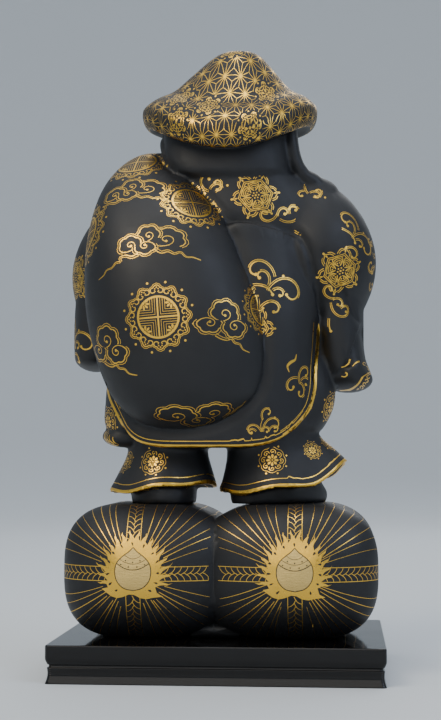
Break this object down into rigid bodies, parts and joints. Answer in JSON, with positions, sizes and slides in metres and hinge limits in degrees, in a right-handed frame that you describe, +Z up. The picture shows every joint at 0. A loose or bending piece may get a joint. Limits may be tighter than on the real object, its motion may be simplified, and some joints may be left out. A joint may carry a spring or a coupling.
{
  "type": "daikoku figure",
  "caption": "Standing Daikoku figure in matte black porcelain with gold line painting, on two rice bales and a black lacquer plinth.",
  "frame": {"origin": "bottom centre of the plinth", "axes": "+Z up, the figure's front faces -Y, its left side is at +X"},
  "size_m": [0.2, 0.15, 0.3938],
  "materials": {
    "figure_glaze": "matte black porcelain glaze with overglaze gold line painting",
    "bale_glaze": "matte black porcelain glaze with overglaze gold line painting",
    "plinth_lacquer": "black mirror lacquer on wood"
  },
  "bodies": {
    "root": {"figure": "figure_glaze", "bales": "bale_glaze", "plinth": "plinth_lacquer"}
  },
  "joints": []
}
